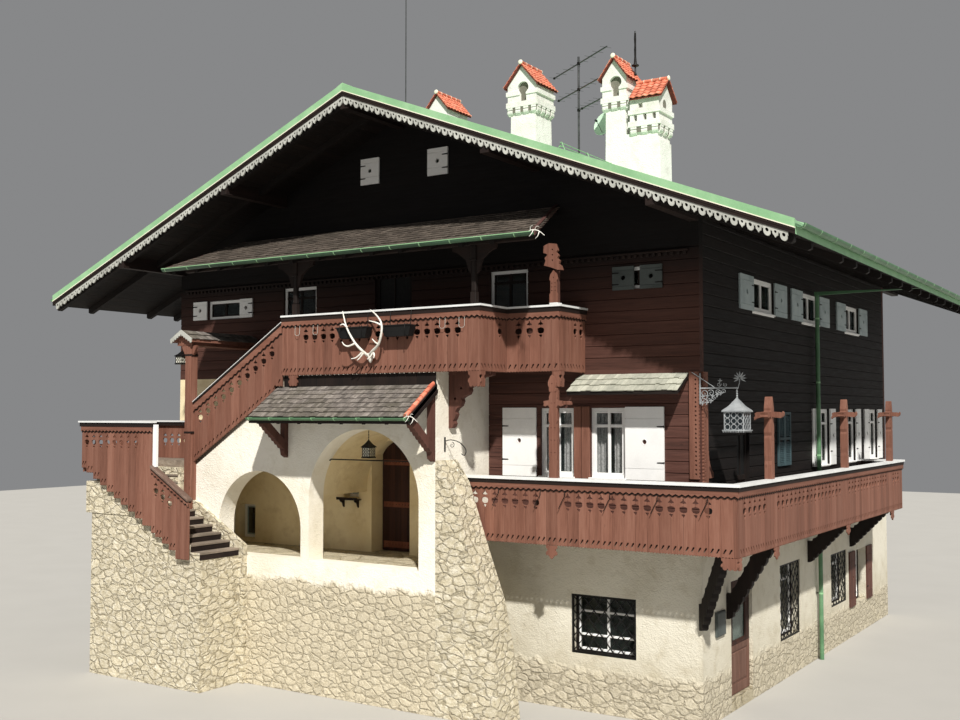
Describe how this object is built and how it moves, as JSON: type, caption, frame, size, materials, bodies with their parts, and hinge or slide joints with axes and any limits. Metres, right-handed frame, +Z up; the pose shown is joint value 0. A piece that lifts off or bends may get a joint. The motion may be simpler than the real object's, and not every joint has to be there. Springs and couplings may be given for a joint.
{
  "type": "alpine chalet",
  "caption": "Alpine chalet with a rendered base, log and boarded storeys under a broad gabled roof, carved balconies, an arched porch, a winding outside stair and white tiled chimneys",
  "frame": {"origin": "middle of the overall footprint, level with the lowest ground line", "axes": "+Z up, +X to the right seen from the entrance front, +Y from the entrance front into the house along the ridge"},
  "size_m": [18.75, 19.12, 14.752],
  "materials": {
    "plaster": "rough lime render",
    "rubble": "rough pointed rubble",
    "log_timber": "red-brown stained boards and logs",
    "dark_timber": "dark brown stained boards",
    "floor_timber": "weathered planks",
    "roof_sheet": "green painted sheet, matt",
    "pale_wood": "pale painted wood",
    "shingles": "weathered grey shingles",
    "clay_tile": "matt red tile",
    "window_glass": "clear",
    "iron": "black painted",
    "gutter_metal": "green painted, satin"
  },
  "bodies": {
    "house": {"base_wall_front": "plaster", "base_wall_side_front": "plaster", "base_wall_side_head": "plaster", "base_wall_side_back": "plaster", "base_wall_left": "plaster", "base_wall_back": "plaster", "entrance_wall_left": "plaster", "entrance_wall_right": "plaster", "entrance_wall_head": "plaster", "entrance_plinth": "plaster", "porch_front_wall": "plaster", "porch_side_walls": "plaster", "porch_vault": "plaster", "entrance_floor": "rubble", "corner_buttress": "rubble", "basement_floor": "rubble", "ground_floor": "floor_timber", "upper_floor": "floor_timber", "attic_floor": "floor_timber", "log_wall_front": "log_timber", "log_wall_right": "log_timber", "log_wall_left": "log_timber", "log_wall_back": "log_timber", "gable_wall_front": "dark_timber", "corner_boards": "log_timber", "roof_right": "roof_sheet", "roof_left": "roof_sheet", "roof_purlins": "dark_timber", "verge_boards": "pale_wood", "chimney_stacks": "plaster", "chimney_caps": "clay_tile", "upper_balcony_deck": "floor_timber", "upper_balcony_parapet": "log_timber", "lower_balcony_deck": "floor_timber", "lower_balcony_parapet": "log_timber", "balcony_posts": "log_timber", "balcony_brackets": "dark_timber", "canopy_roof": "shingles", "porch_roof": "shingles", "window_pent_roof": "shingles", "stair_gate": "dark_timber", "stair_base": "rubble", "lower_flight": "floor_timber", "stair_landing": "floor_timber", "upper_flight": "floor_timber", "stair_parapets": "log_timber", "gutters": "gutter_metal", "window_frames": "pale_wood", "window_glass": "window_glass", "window_grilles": "iron", "shutters": "pale_wood", "fixed_doors": "dark_timber", "wall_lanterns": "iron", "roof_mast": "iron"},
    "entrance_leaf": {"entrance_door": "log_timber"},
    "basement_leaf": {"basement_door": "log_timber"}
  },
  "joints": [
    {"name": "entrance_door_hinge", "type": "hinge", "parent": "house", "child": "entrance_leaf", "pos_m": [-0.752, -5.88, 3.9], "axis": [0, 0, 1], "range_deg": [0, 95]},
    {"name": "basement_door_hinge", "type": "hinge", "parent": "house", "child": "basement_leaf", "pos_m": [6.71, -3.697, 1.3], "axis": [0, 0, -1], "range_deg": [0, 88]}
  ]
}
